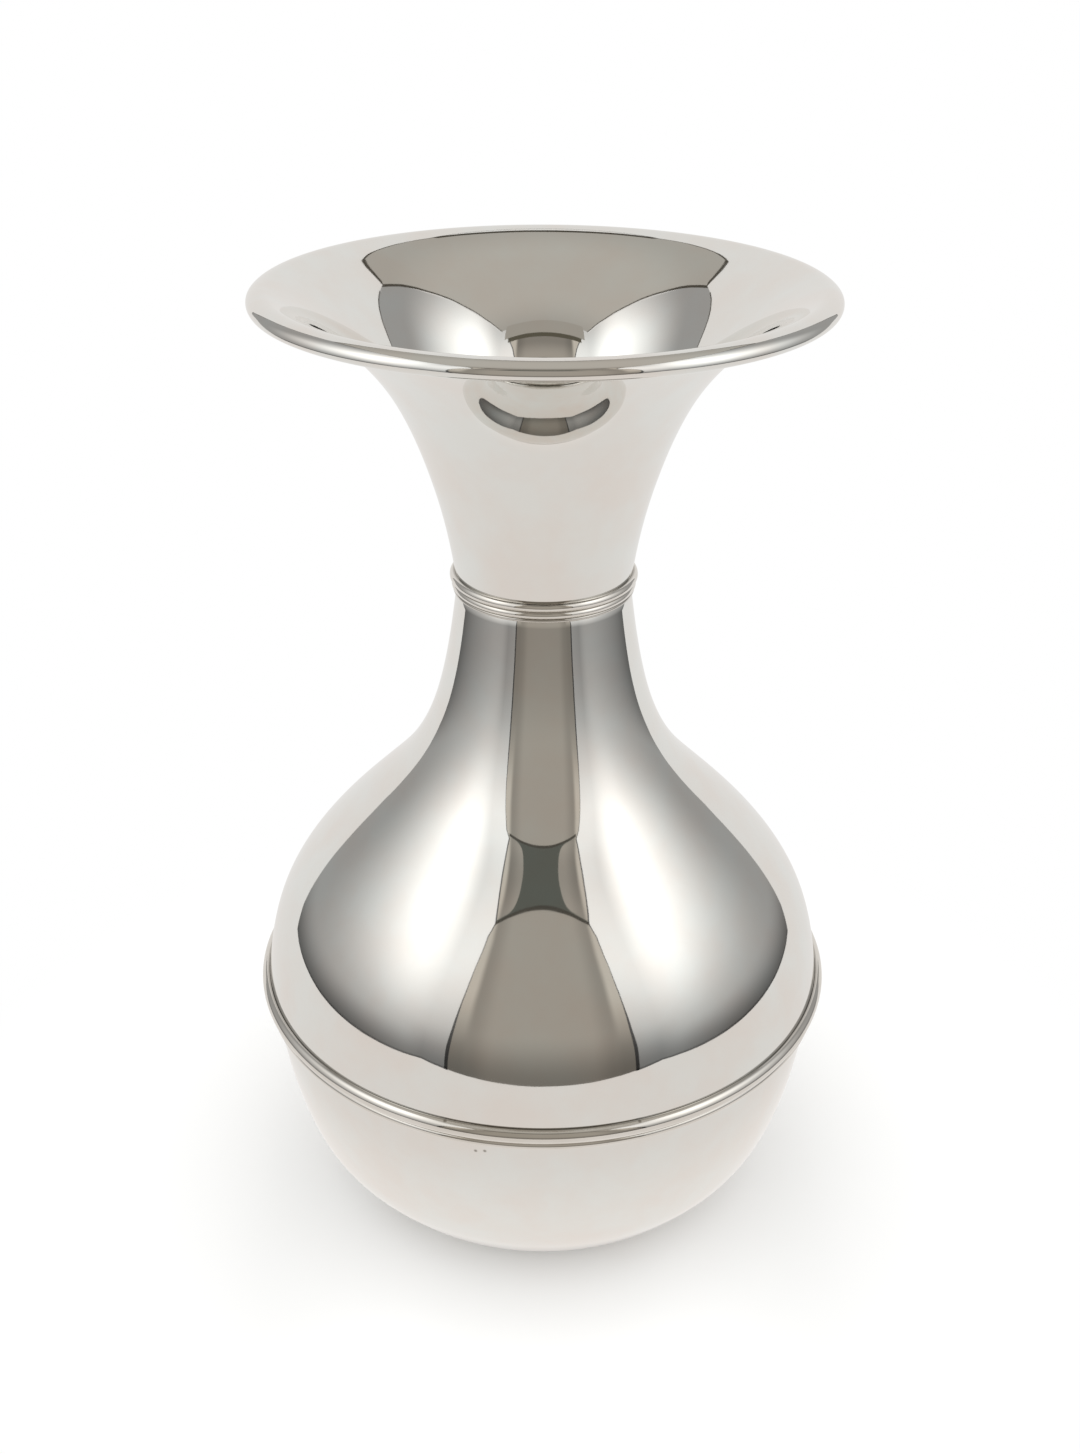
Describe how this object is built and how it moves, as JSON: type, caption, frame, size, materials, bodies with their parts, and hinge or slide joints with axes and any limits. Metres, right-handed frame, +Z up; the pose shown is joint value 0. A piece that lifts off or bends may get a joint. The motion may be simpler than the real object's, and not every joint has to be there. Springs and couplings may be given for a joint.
{
  "type": "trumpet vase",
  "caption": "Tall polished metal vase with a bulbous body, a moulded belly band, a narrow collared neck and a wide flared mouth.",
  "frame": {"origin": "centre of the base, at the height of the standing ring that rests on the table", "axes": "+Z up along the vase's turning axis; X and Y are alike, because every piece is turned"},
  "size_m": [0.1578, 0.1578, 0.254],
  "materials": {
    "polished_silver": "polished",
    "moulding_silver": "polished"
  },
  "bodies": {
    "root": {"lower_bowl": "polished_silver", "shoulder": "polished_silver", "belly_band": "moulding_silver", "neck_collar": "moulding_silver", "trumpet": "polished_silver", "rim_core_wire": "moulding_silver"}
  },
  "joints": []
}
